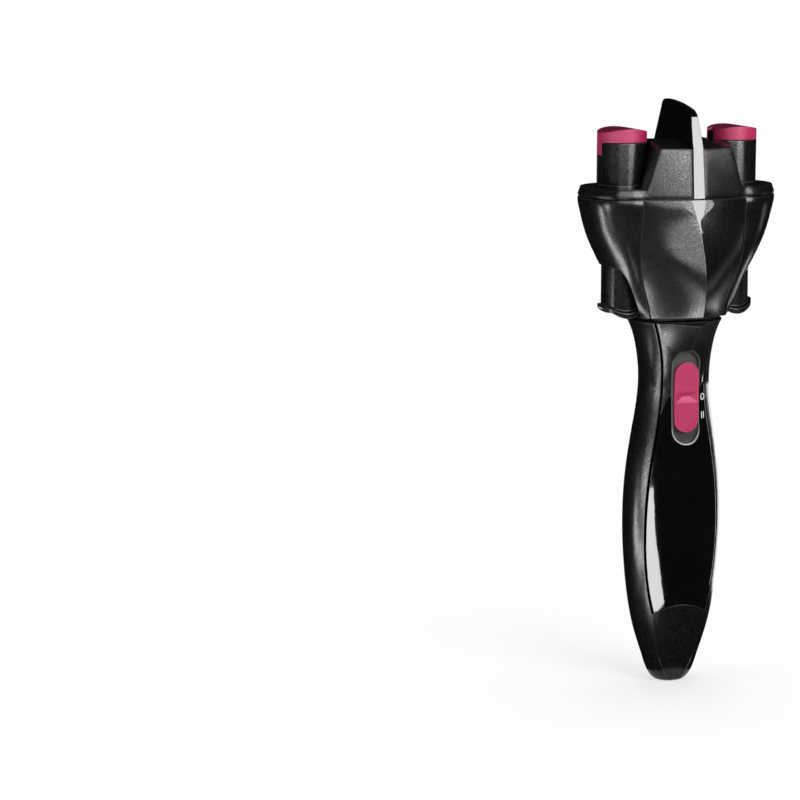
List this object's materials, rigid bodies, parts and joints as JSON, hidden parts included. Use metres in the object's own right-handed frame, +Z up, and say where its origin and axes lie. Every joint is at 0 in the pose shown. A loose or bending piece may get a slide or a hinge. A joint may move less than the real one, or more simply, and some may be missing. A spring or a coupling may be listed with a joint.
{
  "type": "automatic hair braider",
  "caption": "Cordless hair braider: a slim contoured handle with a slide switch carries a rotating turret with twin twisting heads, lifting hooks and a tall divider fin.",
  "frame": {"origin": "centre of the flat tip of the handle, the lowest point of the upright braider", "axes": "+Z up the handle to the fin, +Y to the back away from the switch, +X to the user's right-hand head"},
  "size_m": [0.0862, 0.0636, 0.2489],
  "materials": {
    "matte_black": "fine-grained moulded",
    "moulded_black": "plain moulded",
    "gloss_black": "piano gloss",
    "dark_grey": "satin",
    "raspberry": "satin",
    "steel": "bright",
    "nylon": "natural",
    "brass": "bright",
    "circuit_board": "solder mask",
    "cell_jacket": "printed sleeve"
  },
  "bodies": {
    "handle": {"handle_shell": "matte_black", "gloss_panel": "gloss_black", "front_insert": "matte_black", "switch_bezel": "dark_grey", "slide_switch": "steel", "switch_board": "circuit_board", "battery_tray": "moulded_black", "aa_cell_left": "cell_jacket", "aa_cell_right": "cell_jacket", "contact_spring_left": "steel", "contact_spring_right": "steel", "contact_plate": "steel", "motor_can": "steel", "gearbox": "nylon", "motor_bracket": "steel", "bracket_screws": "steel", "neck_bearing": "nylon", "neck_collar": "moulded_black"},
    "battery_door": {"battery_door": "matte_black"},
    "switch_slider": {"switch_slider": "raspberry"},
    "turret": {"turret_base": "moulded_black", "retaining_ring": "steel", "pod_left": "matte_black", "pod_right": "matte_black", "front_panel": "matte_black", "rear_panel": "matte_black", "gear_plate": "nylon", "idler_axle_left": "steel", "idler_axle_right": "steel", "spindle_bush_left": "brass", "spindle_bush_right": "brass", "knob_guide_left": "moulded_black", "knob_guide_right": "moulded_black", "lid_screws": "steel", "divider_fin": "gloss_black", "turret_lid": "matte_black"},
    "drive": {"drive_shaft": "steel", "sun_gear": "nylon"},
    "left_idler": {"idler_left": "nylon"},
    "right_idler": {"idler_right": "nylon"},
    "left_spindle": {"spindle_head_left": "matte_black", "spindle_gear_left": "nylon", "hook_spring_left": "steel"},
    "right_spindle": {"spindle_head_right": "matte_black", "spindle_gear_right": "nylon", "hook_spring_right": "steel"},
    "left_hook": {"hook_left": "raspberry", "hook_rod_left": "steel", "push_knob_left": "matte_black"},
    "right_hook": {"hook_right": "raspberry", "hook_rod_right": "steel", "push_knob_right": "matte_black"}
  },
  "joints": [
    {"name": "turret_spin", "type": "hinge", "parent": "handle", "child": "turret", "pos_m": [0, 0, 0.152], "axis": [0, 0, 1], "continuous": true},
    {"name": "drive_spin", "type": "hinge", "parent": "turret", "child": "drive", "pos_m": [0, 0, 0.2], "axis": [0, 0, 1], "continuous": true},
    {"name": "left_spindle_spin", "type": "hinge", "parent": "turret", "child": "left_spindle", "pos_m": [-0.025, 0, 0.2], "axis": [0, 0, 1], "continuous": true},
    {"name": "right_spindle_spin", "type": "hinge", "parent": "turret", "child": "right_spindle", "pos_m": [0.025, 0, 0.2], "axis": [0, 0, 1], "continuous": true},
    {"name": "left_idler_spin", "type": "hinge", "parent": "turret", "child": "left_idler", "pos_m": [-0.012, 0, 0.2], "axis": [0, 0, 1], "continuous": true},
    {"name": "right_idler_spin", "type": "hinge", "parent": "turret", "child": "right_idler", "pos_m": [0.012, 0, 0.2], "axis": [0, 0, 1], "continuous": true},
    {"name": "left_hook_lift", "type": "slide", "parent": "left_spindle", "child": "left_hook", "axis": [0, 0, 1], "range_m": [0, 0.009], "stiffness_N_per_m": 150, "springref_m": -0.004, "deforming": ["hook_spring_left"]},
    {"name": "right_hook_lift", "type": "slide", "parent": "right_spindle", "child": "right_hook", "axis": [0, 0, 1], "range_m": [0, 0.009], "stiffness_N_per_m": 150, "springref_m": -0.004, "deforming": ["hook_spring_right"]},
    {"name": "switch_slide", "type": "slide", "parent": "handle", "child": "switch_slider", "axis": [0, 0, 1], "range_m": [-0.004, 0.004]},
    {"name": "battery_door_off", "type": "slide", "parent": "handle", "child": "battery_door", "axis": [0, 1, 0], "range_m": [0, 0.03]}
  ],
  "couplings": [
    {"joint": "right_spindle_spin", "follows": "left_spindle_spin", "ratio": 1},
    {"joint": "drive_spin", "follows": "left_spindle_spin", "ratio": 1.1667},
    {"joint": "left_idler_spin", "follows": "left_spindle_spin", "ratio": -1.1667},
    {"joint": "right_idler_spin", "follows": "left_spindle_spin", "ratio": -1.1667}
  ]
}
